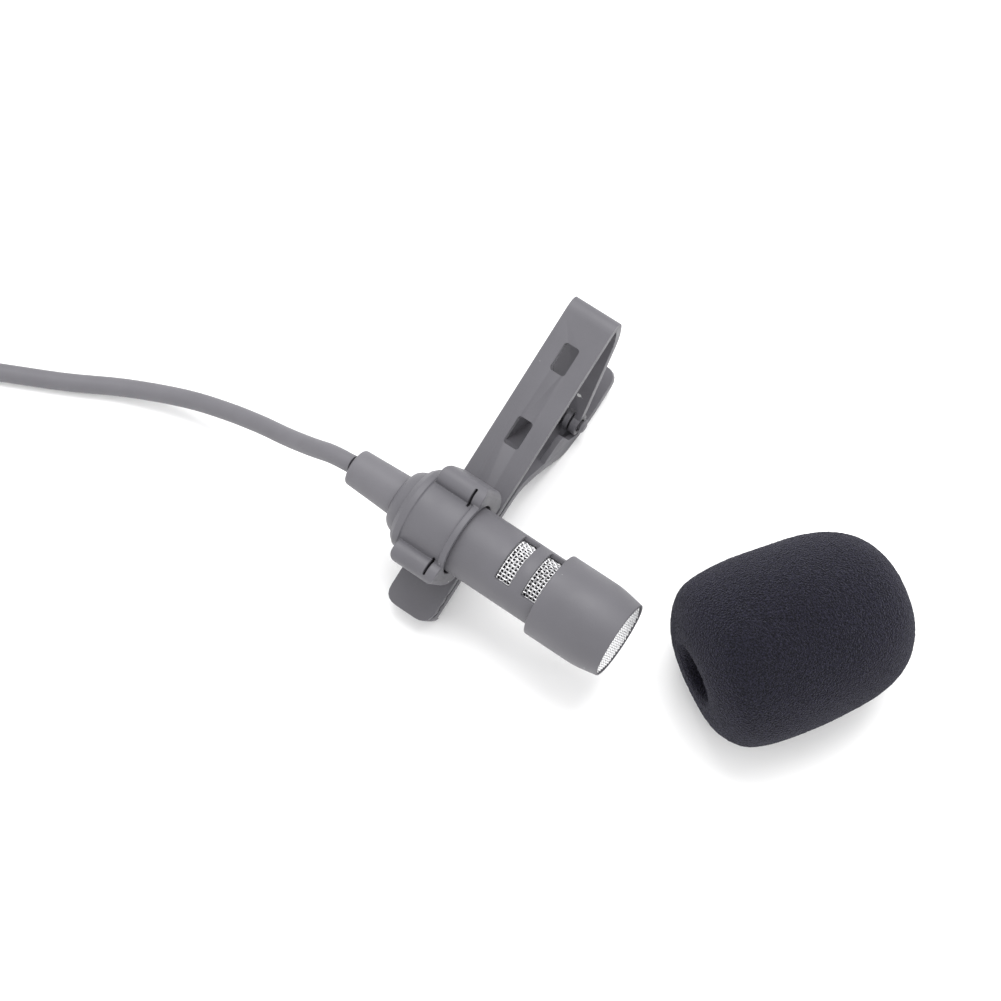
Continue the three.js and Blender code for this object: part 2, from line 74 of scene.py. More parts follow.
def node_material(name, color, roughness, metallic=0.0):
    finish = bpy.data.materials.new(name)
    finish.use_nodes = True
    shader = finish.node_tree.nodes["Principled BSDF"]
    shader.inputs["Base Color"].default_value = (*color, 1)
    shader.inputs["Roughness"].default_value = roughness
    shader.inputs["Metallic"].default_value = metallic
    return finish, finish.node_tree, shader


table_finish, _, _ = node_material("white_table", (0.93, 0.93, 0.93), 0.7)
table_mesh = bpy.data.meshes.new("table")
table_mesh.from_pydata([(-4, -4, 0), (4, -4, 0), (4, 4, 0), (-4, 4, 0)], [], [(0, 1, 2, 3)])
table_mesh.materials.append(table_finish)
table = bpy.data.objects.new("table", table_mesh)
bpy.context.scene.collection.objects.link(table)

# ---- Cord -------------------------------------------------------------------------------------
# Soft grey lead, 2.4 mm thick. It droops out of the microphone's strain relief, runs over the
# table and is put away in a tied coil; its last turn leads out to the jack plug.
axis_height = 13.5
heel_y = 24.3
cord_radius = 1.2
coil_x, coil_y = -96.4, -8.2
free_route = [
    (-0.014, 0, 0.0135), (-0.0172, -0.0001, 0.01275), (-0.0206, -0.0002, 0.01075),
    (-0.0246, -0.0002, 0.00855), (-0.0292, -0.0002, 0.0066), (-0.0346, -0.0007, 0.0048),
    (-0.0406, -0.0019, 0.0032), (-0.0483, -0.0047, 0.0018), (-0.0556, -0.0085, 0.0013),
    (-0.0634, -0.0123, 0.00125), (-0.072, -0.0166, 0.00125), (-0.0795, -0.0207, 0.0013),
]
tail_route = [
    (-0.1009, -0.0286, 0.0027), (-0.1072, -0.0304, 0.0021), (-0.1136, -0.0309, 0.0021),
    (-0.11926, -0.02856, 0.003), (-0.1216, -0.0229, 0.0037), (-0.1216, -0.0213, 0.0037),
]


def eased_line(points, per_span):
    """A smooth line through every point."""
    spots = [Vector(p) for p in points]
    spots = [2 * spots[0] - spots[1], *spots, 2 * spots[-1] - spots[-2]]
    line = []
    for a, b, c, d in zip(spots, spots[1:], spots[2:], spots[3:]):
        for i in range(per_span):
            t = i / per_span
            line.append(
                b + 0.5 * t * ((c - a) + t * ((2 * a - 5 * b + 4 * c - d) + t * (3 * (b - c) + d - a)))
            )
    return [*line, spots[-2]]


def smooth_step(t):
    t = min(max(t, 0.0), 1.0)
    return t * t * (3 - 2 * t)


def coil_turns():
    """The wound cord: one cell of the bundle after another, a turn in each."""
    radii = [17.85, 15.3, 12.75, 10.2]
    heights = [1.25, 3.75, 6.25, 8.75]
    cells = [(r, heights[0]) for r in radii]
    cells += [(radii[3], h) for h in heights[1:]]
    cells += [(radii[2], h) for h in heights[:0:-1]]
    cells += [(radii[1], h) for h in heights[1:]]
    cells += [(radii[0], h) for h in heights[:0:-1]]
    middle = (14.1, 5.1)
    start, total, stagger, shift = -61.3, 5399, 20, 60
    tie_angle, tie_squeeze, tie_reach = 100, 0.16, 24
    points = []
    steps = 540
    for i in range(steps + 1):
        travelled = total * i / steps
        radius, height = cells[0]
        for k in range(len(cells) - 1):
            change = (k + 1) * (360 - stagger)
            part = smooth_step((travelled - change) / shift + 0.5)
            radius += part * (cells[k + 1][0] - cells[k][0])
            height += part * (cells[k + 1][1] - cells[k][1])
        lead_in = 1 - smooth_step(travelled / 60)
        radius += 1.2 * lead_in
        angle = start - travelled
        away = (angle - tie_angle + 180) % 360 - 180
        squeeze = 1 - tie_squeeze * math.exp(-((away / tie_reach) ** 2))
        radius = middle[0] + (radius - middle[0]) * squeeze
        height = middle[1] + (height - middle[1]) * squeeze
        turn = math.radians(angle)
        points.append((coil_x + radius * math.cos(turn), coil_y + radius * math.sin(turn), height))
    return [tuple(v * MM for v in p) for p in points]


turns = coil_turns()
lead_out = []
for i in range(1, 5):
    part = i / 5
    turn = math.radians(-60.3 - 40 * part)
    radius = 17.85 + 3.05 * smooth_step(part)
    height = 3.75 - 1.05 * smooth_step(part)
    spot = (coil_x + radius * math.cos(turn), coil_y + radius * math.sin(turn), height)
    lead_out.append(tuple(v * MM for v in spot))
free_line = eased_line([*free_route, turns[3]], 4)
tail_line = eased_line([*lead_out, *tail_route], 4)
cord_line = [*free_line, *[Vector(p) for p in turns[4:]], *tail_line]
cord_line = [Vector((p[0], p[1] - heel_y * MM, p[2])) for p in cord_line]

jacket_color = (0.12, 0.117, 0.129)


def grain(tree, shader, scale, height, detail=3.0):
    """Fine surface grain as bump, sized in the piece's own metres."""
    nodes, links = tree.nodes, tree.links
    where = nodes.new("ShaderNodeTexCoord")
    texture = nodes.new("ShaderNodeTexNoise")
    texture.inputs["Scale"].default_value = scale
    texture.inputs["Detail"].default_value = detail
    bump = nodes.new("ShaderNodeBump")
    bump.inputs["Distance"].default_value = height
    links.new(where.outputs["Object"], texture.inputs["Vector"])
    links.new(texture.outputs[0], bump.inputs["Height"])
    links.new(bump.outputs["Normal"], shader.inputs["Normal"])


def mottle(tree, shader, color, scale, spread):
    """A slight drift of tone over the surface."""
    nodes, links = tree.nodes, tree.links
    where = nodes.new("ShaderNodeTexCoord")
    texture = nodes.new("ShaderNodeTexNoise")
    texture.inputs["Scale"].default_value = scale
    texture.inputs["Detail"].default_value = 5
    ramp = nodes.new("ShaderNodeValToRGB")
    ramp.color_ramp.elements[0].position = 0.3
    ramp.color_ramp.elements[1].position = 0.7
    ramp.color_ramp.elements[0].color = (*[c * (1 - spread) for c in color], 1)
    ramp.color_ramp.elements[1].color = (*[c * (1 + spread) for c in color], 1)
    links.new(where.outputs["Object"], texture.inputs["Vector"])
    links.new(texture.outputs[0], ramp.inputs["Fac"])
    links.new(ramp.outputs["Color"], shader.inputs["Base Color"])
    return ramp


jacket, jacket_tree, jacket_shader = node_material("cord_jacket", jacket_color, 0.55)
jacket_shader.inputs["Specular IOR Level"].default_value = 0.4
grain(jacket_tree, jacket_shader, 5200, 0.00001)
mottle(jacket_tree, jacket_shader, jacket_color, 260, 0.06)

cord_curve = bpy.data.curves.new("cord", "CURVE")
cord_curve.dimensions = "3D"
cord_curve.bevel_depth = cord_radius * MM
cord_curve.bevel_resolution = 4
cord_curve.use_fill_caps = True
spline = cord_curve.splines.new("POLY")
spline.points.add(len(cord_line) - 1)
for spot, p in zip(spline.points, cord_line):
    spot.co = (*p, 1)
spline.use_smooth = True
cord_curve.materials.append(jacket)
cord = bpy.data.objects.new("cord", cord_curve)
bpy.context.scene.collection.objects.link(cord)
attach(cord, "microphone")
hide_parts("cord_run", "cord_coil", "cord_tail")

# ---- Strain relief ----------------------------------------------------------------------------
# Soft sleeve moulded from the cord's own rubber. Its neck is snapped into the end of the metal
# body and carries the bend of the cord.
at_microphone = Matrix.Translation((0, -heel_y, axis_height))


def eased_corners(corners, ease, closed=True, steps=5):
    """An outline with its corners rounded; a third value is a corner's own rounding."""
    spots = [Vector(corner[:2]) for corner in corners]
    outline = []
    for i, spot in enumerate(spots):
        if not closed and i in (0, len(spots) - 1):
            outline.append(spot)
            continue
        before, after = spots[i - 1] - spot, spots[(i + 1) % len(spots)] - spot
        reach = corners[i][2] if len(corners[i]) > 2 else ease
        reach = min(reach, 0.46 * before.length, 0.46 * after.length)
        start, end = spot + before.normalized() * reach, spot + after.normalized() * reach
        for k in range(steps + 1):
            t = k / steps
            outline.append((1 - t) ** 2 * start + 2 * t * (1 - t) * spot + t * t * end)
    return outline


def finished_mesh(work, name):
    bmesh.ops.remove_doubles(work, verts=work.verts, dist=1e-5)
    bmesh.ops.dissolve_degenerate(work, edges=work.edges, dist=1e-6)
    bmesh.ops.recalc_face_normals(work, faces=work.faces)
    mesh = bpy.data.meshes.new(name)
    work.to_mesh(mesh)
    work.free()
    return mesh


def turned(corners, ease=0.12, segments=128, closed=True):
    """A piece turned about X from its section: places along X and radii."""
    work = bmesh.new()
    rings = []
    for x, radius in eased_corners(corners, ease, closed):
        spots = [2 * math.pi * k / segments for k in range(segments)]
        rings.append([work.verts.new((x, radius * math.cos(a), radius * math.sin(a))) for a in spots])
    pairs = list(zip(rings, rings[1:]))
    if closed:
        pairs.append((rings[-1], rings[0]))
    for ring, following in pairs:
        for k in range(segments):
            m = (k + 1) % segments
            work.faces.new((ring[k], ring[m], following[m], following[k]))
    return finished_mesh(work, "turned")


def put(name, mesh, place, body, slot, finish, *nodes, broad=1e9):
    """Adds a piece made in millimetres to its moving body. Faces above `broad` stay flat."""
    for face in mesh.polygons:
        face.use_smooth = face.area < broad
        face.material_index = 0
    mesh.transform(Matrix.Scale(MM, 4) @ place)
    mesh.materials.clear()
    mesh.materials.append(finish)
    mesh.set_sharp_from_angle(angle=math.radians(35))
    piece = bpy.data.objects.new(name, mesh)
    bpy.context.scene.collection.objects.link(piece)
    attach(piece, body)
    if nodes:
        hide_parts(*nodes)
    return piece


relief_section = [
    (-13.7, 1.22), (-13.7, 2.4, 0.5), (-9.5, 2.58, 2), (-6.63, 2.72, 0.25), (-6.63, 2.1), (-5.2, 2.1),
    (-5.2, 3), (-4.4, 3), (-4.4, 1.22),
]
put(
    "strain_relief_sleeve", turned(relief_section), at_microphone, "microphone", "cord_jacket", jacket,
    "strain_relief",
)

# ---- Body of the microphone -------------------------------------------------------------------
# Turned aluminium tube, domed at the cord's end, with two rows of sound windows milled through it.
# Sprayed in a satin grey paint with a fine texture.
paint_color = (0.1, 0.0975, 0.1085)
barrel_radius = 4.525
barrel_front = 16.6
window_rows = (9.3, 13.1)
window_length = 2.1
window_corner = 0.2
window_from = 34.5
wall = 0.595
columns = 144
window_columns = 40


def rough_patches(tree, shader, scale, low, high):
    """Gloss that drifts between two roughness values."""
    nodes, links = tree.nodes, tree.links
    where = nodes.new("ShaderNodeTexCoord")
    texture = nodes.new("ShaderNodeTexNoise")
    texture.inputs["Scale"].default_value = scale
    texture.inputs["Detail"].default_value = 4
    span = nodes.new("ShaderNodeMapRange")
    span.inputs["From Min"].default_value = 0.3
    span.inputs["From Max"].default_value = 0.7
    span.inputs["To Min"].default_value = low
    span.inputs["To Max"].default_value = high
    links.new(where.outputs["Object"], texture.inputs["Vector"])
    links.new(texture.outputs[0], span.inputs["Value"])
    links.new(span.outputs["Result"], shader.inputs["Roughness"])


def dust_specks(tree, shader, ramp, scale, amount, color):
    """Tiny pale specks and rubbed spots over the colour."""
    nodes, links = tree.nodes, tree.links
    where = nodes.new("ShaderNodeTexCoord")
    texture = nodes.new("ShaderNodeTexNoise")
    texture.inputs["Scale"].default_value = scale
    texture.inputs["Detail"].default_value = 1
    limit = nodes.new("ShaderNodeMapRange")
    limit.inputs["From Min"].default_value = amount
    limit.inputs["From Max"].default_value = amount + 0.02
    blend = nodes.new("ShaderNodeMix")
    blend.data_type = "RGBA"
    blend.inputs["B"].default_value = (*color, 1)
    links.new(where.outputs["Object"], texture.inputs["Vector"])
    links.new(texture.outputs[0], limit.inputs["Value"])
    links.new(limit.outputs["Result"], blend.inputs["Factor"])
    links.new(ramp.outputs["Color"], blend.inputs["A"])
    links.new(blend.outputs["Result"], shader.inputs["Base Color"])


paint, paint_tree, paint_shader = node_material("grey_paint", paint_color, 0.5)
paint_shader.inputs["Specular IOR Level"].default_value = 0.35
grain(paint_tree, paint_shader, 3600, 0.000012, 5)
rough_patches(paint_tree, paint_shader, 420, 0.44, 0.58)
paint_tone = mottle(paint_tree, paint_shader, paint_color, 210, 0.05)
dust_specks(paint_tree, paint_shader, paint_tone, 900, 0.79, (0.5, 0.5, 0.5))


def barrel_shell():
    """The tube as a sheet of small panels, left open at the sound windows, then thickened."""
    stations = [(-6.6, 2.4), (-6.6, 2.9)]
    for k in range(13):
        a = math.pi / 2 * k / 12
        stations.append((-3.4 - 3.2 * math.cos(a), 2.95 + (barrel_radius - 2.95) * math.sin(a) ** 0.9))
    stations += [(x, barrel_radius) for x in (-2, 1, 4, 7)]
    for row in window_rows:
        marks = (row, row + window_corner, row + window_length - window_corner, row + window_length)
        stations += [(x, barrel_radius) for x in marks]
    stations.append((barrel_front, barrel_radius))
    work = bmesh.new()
    turns_of = [math.radians(window_from + 360 * k / columns) for k in range(columns)]
    rings = [[work.verts.new((x, r * math.cos(a), r * math.sin(a))) for a in turns_of] for x, r in stations]
    for i in range(len(stations) - 1):
        middle = (stations[i][0] + stations[i + 1][0]) / 2
        row = next((w for w in window_rows if w < middle < w + window_length), None)
        for k in range(columns):
            m = (k + 1) % columns
            corners = [rings[i][k], rings[i][m], rings[i + 1][m], rings[i + 1][k]]
            if row is not None and k % 72 < window_columns:
                back, front = middle < row + window_corner, middle > row + window_length - window_corner
                left, right = k % 72 == 0, k % 72 == window_columns - 1
                if not ((back or front) and (left or right)):
                    continue
                corners.pop((2 if left else 3) if back else (1 if left else 0))
            work.faces.new(corners)
    return finished_mesh(work, "barrel")


def reworked(mesh, *changes):
    """The mesh after its modifiers, each given as its kind and settings."""
    thing = bpy.data.objects.new("work", mesh)
    bpy.context.scene.collection.objects.link(thing)
    for kind, settings in changes:
        step = thing.modifiers.new(kind, kind)
        for key, value in settings.items():
            setattr(step, key, value)
    result = bpy.data.meshes.new_from_object(thing.evaluated_get(bpy.context.evaluated_depsgraph_get()))
    bpy.data.objects.remove(thing)
    return result


def edge_break(width, segments=2, angle=35):
    return "BEVEL", {
        "width": width, "segments": segments, "limit_method": "ANGLE", "angle_limit": math.radians(angle),
    }


thickened = "SOLIDIFY", {"thickness": wall, "offset": -1, "use_even_offset": True}
tube_wall = reworked(barrel_shell(), thickened, edge_break(0.09))
put("microphone_body", tube_wall, at_microphone, "microphone", "grey_paint", paint, "barrel")

# ---- Woven wire behind the windows -------------------------------------------------------------
# Stainless wire gauze in plain weave, rolled into a sleeve and slipped inside the tube. It keeps
# dust and breath off the capsule.
gauze_pitch = 0.465
gauze_wire = 0.105
sleeve_radius = 3.68
sleeve_from = 7.95


def wire_gauze(paths, radius, sides=5):
    """Many thin wires in one mesh. Each path is a list of (place, outward direction)."""
    places, faces = [], []
    for path, closed in paths:
        base = len(places)
        count = len(path)
        for i, (place, out) in enumerate(path):
            ahead = path[(i + 1) % count if closed else min(i + 1, count - 1)][0]
            behind = path[i - 1 if closed or i else 0][0]
            across = (ahead - behind).normalized().cross(out)
            for k in range(sides):
                a = 2 * math.pi * k / sides
                places.append(place + radius * (math.cos(a) * out + math.sin(a) * across))
        for i in range(count if closed else count - 1):
            j = (i + 1) % count
            for k in range(sides):
                m = (k + 1) % sides
                near, far = base + i * sides, base + j * sides
                faces.append((near + k, near + m, far + m, far + k))
        if not closed:
            faces.append(tuple(base + k for k in range(sides)))
            faces.append(tuple(base + (count - 1) * sides + k for k in reversed(range(sides))))
    mesh = bpy.data.meshes.new("gauze")
    mesh.from_pydata(places, [], faces)
    work = bmesh.new()
    work.from_mesh(mesh)
    bmesh.ops.recalc_face_normals(work, faces=work.faces)
    work.to_mesh(mesh)
    work.free()
    return mesh


def rolled_gauze():
    around = 50
    rows = 18
    paths = []
    for j in range(rows):
        hoop = []
        for k in range(2 * around):
            a = math.pi * k / around
            out = Vector((0, math.cos(a), math.sin(a)))
            lift = gauze_wire * math.cos(math.pi * (k / 2 + j))
            hoop.append((out * (sleeve_radius + lift) + Vector((sleeve_from + j * gauze_pitch, 0, 0)), out))
        paths.append((hoop, True))
    for i in range(around):
        a = 2 * math.pi * i / around
        out = Vector((0, math.cos(a), math.sin(a)))
        run = []
        for m in range(2 * rows - 1):
            lift = -gauze_wire * math.cos(math.pi * (i + m / 2))
            along = Vector((sleeve_from + m * gauze_pitch / 2, 0, 0))
            run.append((out * (sleeve_radius + lift) + along, out))
        paths.append((run, False))
    return wire_gauze(paths, gauze_wire)


gauze_steel, gauze_tree, gauze_shader = node_material("gauze_steel", (0.95, 0.95, 0.95), 0.42, 1.0)
grain(gauze_tree, gauze_shader, 9000, 0.000004)
mottle(gauze_tree, gauze_shader, (0.92, 0.92, 0.93), 1500, 0.08)
rough_patches(gauze_tree, gauze_shader, 1500, 0.36, 0.5)
put("window_gauze", rolled_gauze(), at_microphone, "microphone", "wire_mesh", gauze_steel, "port_mesh")

# ---- Inside the body ----------------------------------------------------------------------------
# The electret capsule sits in a rubber boot behind the nose. Two leads join it to a small
# preamplifier board, and a crimped ring keeps the cord from pulling out.
def dress(finish, *names):
    """Gives the plain inner pieces their material."""
    for name in names:
        for slot_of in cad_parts[name].material_slots:
            slot_of.link = "OBJECT"
            slot_of.material = finish


def plain_finish(name, color, roughness, metallic=0.0, grain_scale=4200, grain_height=0.00001, drift=0.1):
    finish, tree, shader = node_material(name, color, roughness, metallic)
    grain(tree, shader, grain_scale, grain_height)
    mottle(tree, shader, color, 380, drift)
    rough_patches(tree, shader, 600, max(roughness - 0.08, 0.05), min(roughness + 0.08, 1))
    return finish


dress(plain_finish("capsule_aluminium", (0.6, 0.6, 0.61), 0.35, 1.0, 7000, 0.000005), "capsule")
dress(plain_finish("boot_rubber", (0.02, 0.02, 0.022), 0.8), "capsule_boot")
# Black felt for the pad behind the nose gauze; the same black also makes the painted-shade backing behind the
# windows.
black_felt = plain_finish("black_felt", (0.014, 0.014, 0.016), 0.95, 0, 9000, 0.00005, 0.3)
dress(black_felt, "felt_disc")
# Painted shade: a black sleeve inside the tube behind both rows of windows, a dark backing that stands in for
# the shade inside the tube seen through the gauze.
window_shade_backing = turned([(8.1, 3.2), (8.1, 3.4), (16.1, 3.4), (16.1, 3.2)], 0.05)
put("window_shade_backing", window_shade_backing, at_microphone, "microphone", "black_felt", black_felt)
dress(plain_finish("board_green", (0.01, 0.045, 0.02), 0.45), "preamp_board")
dress(plain_finish("red_insulation", (0.33, 0.03, 0.025), 0.4), "signal_lead")
dress(plain_finish("black_insulation", (0.012, 0.012, 0.014), 0.45), "ground_lead")
dress(jacket, "cord_end", "plug_cord_end")
spring_steel = plain_finish("spring_steel", (0.3, 0.3, 0.31), 0.36, 1.0, 6000, 0.000006)
dress(spring_steel, "cord_clamp", "swivel_rivet")

# ---- Head -----------------------------------------------------------------------------------------
# Turned aluminium cap screwed over the front of the tube, tapered at the nose, painted with it.
# A disc of the same wire gauze closes the mouth in front of a felt pad.
cap_section = [
    (15.25, 4.85), (15.25, 5.5, 0.22), (22.35, 5.5, 1.1), (25.4, 4.95, 0.14), (25.4, 4.7, 0.08), (23.4, 4.65),
    (23.4, 3.6), (22.9, 3.6), (22.9, 4.85),
]
put("head_cap", turned(cap_section, 0.08, 160), at_microphone, "microphone", "grey_paint", paint, "cap")

disc_radius = 4.6
disc_at = 25.1


def gauze_disc():
    reach = int(disc_radius / gauze_pitch)
    out = Vector((1, 0, 0))
    paths = []
    for i in range(-reach, reach + 1):
        steps = int(2 * math.sqrt(disc_radius ** 2 - (i * gauze_pitch) ** 2) / gauze_pitch)
        for upright in (False, True):
            run = []
            for m in range(-steps, steps + 1):
                lift = gauze_wire * math.cos(math.pi * (m / 2 + i)) * (-1 if upright else 1)
                side, along = i * gauze_pitch, m * gauze_pitch / 2
                place = Vector((disc_at + lift, side, along) if upright else (disc_at + lift, along, side))
                run.append((place, out))
            if len(run) > 2:
                paths.append((run, False))
    return wire_gauze(paths, gauze_wire)


put("nose_gauze", gauze_disc(), at_microphone, "microphone", "wire_mesh", gauze_steel, "front_mesh")

# ---- Swivel holder --------------------------------------------------------------------------------
# Moulded collar that the tube clicks into, with a half-round rib along each side and a slit near
# the front of each rib, so that it can spring open. Riveted to the clip, and sprayed grey.
tilt = math.radians(22)
axis_over_plate = 5.9
plate_y = axis_over_plate * math.sin(tilt) - heel_y
plate_z = axis_height - axis_over_plate * math.cos(tilt)
on_clip = Matrix.Translation((0, plate_y, plate_z)) @ Matrix.Rotation(tilt, 4, "X")
holder_back, holder_front = -5, 3.2
rib_back = -3.2
rib_at, rib_rise, rib_radius = 5.3, 2.6, 1.5
holder_floor = 0.3 - axis_over_plate


def prism(outline, start, end, along="X"):
    """A block pushed straight out: its outline in the Y-Z plane along X, or in X-Y along Z."""
    work = bmesh.new()
    rings = []
    for s in (start, end):
        rings.append([work.verts.new((s, p[0], p[1]) if along == "X" else (p[0], p[1], s)) for p in outline])
    count = len(outline)
    work.faces.new(rings[0])
    work.faces.new(rings[1])
    for i in range(count):
        j = (i + 1) % count
        work.faces.new((rings[0][i], rings[0][j], rings[1][j], rings[1][i]))
    return finished_mesh(work, "prism")


def rectangle(x0, y0, x1, y1, rounding=0.0):
    corners = [(x0, y0), (x1, y0), (x1, y1), (x0, y1)]
    return eased_corners(corners, rounding) if rounding else corners


def rod(start, end, radius, segments=96):
    return turned([(start, 0), (start, radius), (end, radius), (end, 0)], 0, segments, closed=False)


def combined(mesh, operation, *tools):
    """UNION joins the tools on, DIFFERENCE cuts them away, INTERSECT keeps what they hold."""
    things = [bpy.data.objects.new("tool", tool) for tool in tools]
    for thing in things:
        bpy.context.scene.collection.objects.link(thing)
    result = reworked(mesh, *[
        ("BOOLEAN", {"object": thing, "operation": operation, "solver": "MANIFOLD"}) for thing in things
    ])
    for thing in things:
        bpy.data.objects.remove(thing)
    return result


def arc(x, y, radius, start, end, steps=16):
    turns_of = [math.radians(start + (end - start) * k / steps) for k in range(steps + 1)]
    return [(x + radius * math.cos(a), y + radius * math.sin(a)) for a in turns_of]


def rib(side):
    near, far = rib_at - rib_radius, rib_at + rib_radius
    outline = [(near, holder_floor), (far - 1.6, holder_floor), (far, holder_floor + 2.2)]
    outline += arc(rib_at, rib_rise, rib_radius, 0, 180)
    bar = prism([(side * y, z) for y, z in outline], rib_back, holder_front)
    return combined(bar, "INTERSECT", prism(rectangle(rib_back, -7, holder_front, 7, 1.5), -10, 10, "Z"))


def swivel_holder():
    collar = turned([
        (holder_back, 0), (holder_back, 4.75), (-4.2, 5.45), (-3.4, 5.45), (-3.3, 5.2), (2.3, 5.2),
        (2.4, 5.6), (holder_front, 5.6), (holder_front, 0),
    ], 0, 128, closed=False)
    foot = prism(rectangle(-rib_at, holder_floor, rib_at, holder_floor + 2), holder_back, holder_front)
    body = combined(collar, "UNION", foot, rib(1), rib(-1))
    slits = [prism(rectangle(1.6, min(y), 1.88, max(y)), 0, 8, "Z") for y in ((3.6, 6.1), (-3.6, -6.1))]
    rivet_hole = rod(-2, 2, 1.45)
    rivet_hole.transform(Matrix.Translation((0, 0, holder_floor)) @ Matrix.Rotation(math.pi / 2, 4, "Y"))
    body = combined(body, "DIFFERENCE", rod(-6, 4.2, 4.825, 128), *slits, rivet_hole)
    body = reworked(
        body, ("REMESH", {"mode": "VOXEL", "voxel_size": 0.085}),
        ("SMOOTH", {"factor": 0.5, "iterations": 5}), ("DECIMATE", {"ratio": 0.35}),
    )
    body.transform(Matrix.Translation((0, 0, axis_over_plate)))
    return body


put("swivel_holder", swivel_holder(), on_clip, "saddle", "grey_paint", paint, "holder")

# ---- Clip: upper jaw ------------------------------------------------------------------------------
# One strip of sheet steel, 1.2 mm thick, folded back under itself at the spring end and rolled
# round the pin. Two windows are punched through its face, and its tip is grooved to grip cloth.
sheet = 1.2
clip_half = 3.325
jaw_tip = -12.2
pivot_y, pivot_z = 18.8, -13.1
knuckle_radius = 1.45
pin_radius = 0.6
tooth_places = (-11, -9.4, -7.8)


def bent_strip(corners, thickness):
    """Outline of a strip of sheet, from the middle line of its bends."""
    line = eased_corners(corners, 0, closed=False, steps=20)
    sides = []
    for sign in (1, -1):
        for i, spot in enumerate(line):
            run = (line[min(i + 1, len(line) - 1)] - line[max(i - 1, 0)]).normalized()
            sides.append((spot.x - sign * run.y * thickness / 2, spot.y + sign * run.x * thickness / 2))
    return sides[:len(line)] + sides[:len(line) - 1:-1]


def on_pivot(mesh):
    mesh.transform(Matrix.Translation((0, pivot_y, pivot_z)))
    return mesh


def deburred(mesh):
    """The stamped piece with its flat faces made whole and its edges broken."""
    whole_faces = "DECIMATE", {"decimate_type": "DISSOLVE", "angle_limit": math.radians(0.4)}
    return reworked(mesh, whole_faces, edge_break(0.17, 3))


def upper_jaw():
    strip = prism(bent_strip(
        [(jaw_tip, -sheet / 2), (32.15, -sheet / 2, 2.3), (30.4, -4.6, 1.7), (19.4, -12.3)], sheet,
    ), -clip_half, clip_half)
    jaw = combined(strip, "UNION", on_pivot(rod(-clip_half, clip_half, knuckle_radius)))
    jaw = combined(jaw, "INTERSECT", prism(rectangle(-clip_half, jaw_tip, clip_half, 60, 1.9), -30, 10, "Z"))
    windows = [prism(rectangle(-1.1, s, 1.1, s + 3.9, 0.5), -sheet - 1, 1, "Z") for s in (12.1, 22.8)]
    lever_slot = prism(rectangle(-2.35, pivot_y - 4, 2.35, pivot_y + 2.4), pivot_z - 3, pivot_z + 2, "Z")
    grooves = [prism([(s - 0.8, -1.3), (s + 0.8, -1.3), (s, -0.55)], -5, 5) for s in tooth_places]
    seat_section = [(-2, 0), (-2, 2.4), (-0.45, 2.4), (-0.45, 1.45), (1, 1.45), (1, 0)]
    rivet_seat = turned(seat_section, 0, 64, closed=False)
    rivet_seat.transform(Matrix.Rotation(-math.pi / 2, 4, "Y"))
    pin_hole = on_pivot(rod(-5, 5, pin_radius + 0.3))
    return deburred(combined(jaw, "DIFFERENCE", lever_slot, pin_hole, *windows, *grooves, rivet_seat))


put("upper_jaw_strip", upper_jaw(), on_clip, "clip", "grey_paint", paint, "upper_jaw", broad=0.3)

# ---- Clip: lower jaw and thumb tab ------------------------------------------------------------------
# Pressed steel lever, 1.4 mm thick, with side cheeks and a pair of ears on the pin. One end bites
# under the upper jaw, the belly is the heel that the clip stands on, the other end the thumb tab.
lever_sheet = 1.4
lever_end = 27.1


def lower_jaw():
    strip = prism(bent_strip([
        (jaw_tip, -sheet - 0.3 - lever_sheet / 2), (8.2, -2.6, 2.8), (11.4, -7, 1.8), (15, -14.05, 1.5),
        (19.9, -16.1, 1.8), (lever_end, -16.1),
    ], lever_sheet), -clip_half, clip_half)
    lip = prism(rectangle(jaw_tip, -4.2, jaw_tip + 1.1, -2), -clip_half, clip_half)
    tooth_outlines = [[(s - 0.5, -1.6), (s + 0.5, -1.6), (s, -1.05)] for s in tooth_places]
    teeth = [prism(outline, -clip_half, clip_half) for outline in tooth_outlines]
    ear = [(15.6, -14.3), (20.6, -16.1), *arc(pivot_y, pivot_z, knuckle_radius, 0, 180)]
    ears = [prism(ear, *span) for span in ((1.35, 2.05), (-2.05, -1.35))]
    cheek = [
        (11.8, -8), (15, -14.05), (18, -15.2), (16.4, -12.4), (16.4, -8.6), (15.8, -7.8), (13, -7.3),
        (12.2, -7.4),
    ]
    cheeks = [prism(cheek, clip_half - 0.7, clip_half), prism(cheek, -clip_half, 0.7 - clip_half)]
    jaw = combined(strip, "UNION", lip, *teeth, *ears, *cheeks)
    plan = prism(rectangle(-clip_half, jaw_tip, clip_half, lever_end, 1.9), -30, 10, "Z")
    jaw = combined(jaw, "INTERSECT", plan)
    under_table = prism(rectangle(-20, -60, 20, 60), -40, 0, "Z")
    under_table.transform(on_clip.inverted())
    return deburred(combined(jaw, "DIFFERENCE", on_pivot(rod(-5, 5, pin_radius + 0.3)), under_table))


put("thumb_lever", lower_jaw(), on_clip, "thumb_lever", "grey_paint", paint, "lower_jaw", broad=0.3)

# ---- Pin and spring -----------------------------------------------------------------------------
# Steel pin through both knuckles, headed over at each end and sprayed with the clip. A torsion
# spring of 0.4 mm wire is wound on it and pushes the thumb tab away from the strip.
spring_radius = 1.22
spring_wire = 0.2
arm_up, arm_down = math.radians(43), math.radians(-26)
head, end = clip_half + 0.3, clip_half + 0.75
pin_section = [
    (-end, 0), (-end, 0.55), (-head - 0.12, 1.1), (-head, 1.1), (-head, pin_radius), (head, pin_radius),
    (head, 1.1), (head + 0.12, 1.1), (end, 0.55), (end, 0),
]
pin_mesh = on_pivot(turned(pin_section, 0.12, 64, closed=False))
put("pivot_pin", pin_mesh, on_clip, "clip", "grey_paint", paint, "pivot_pin")


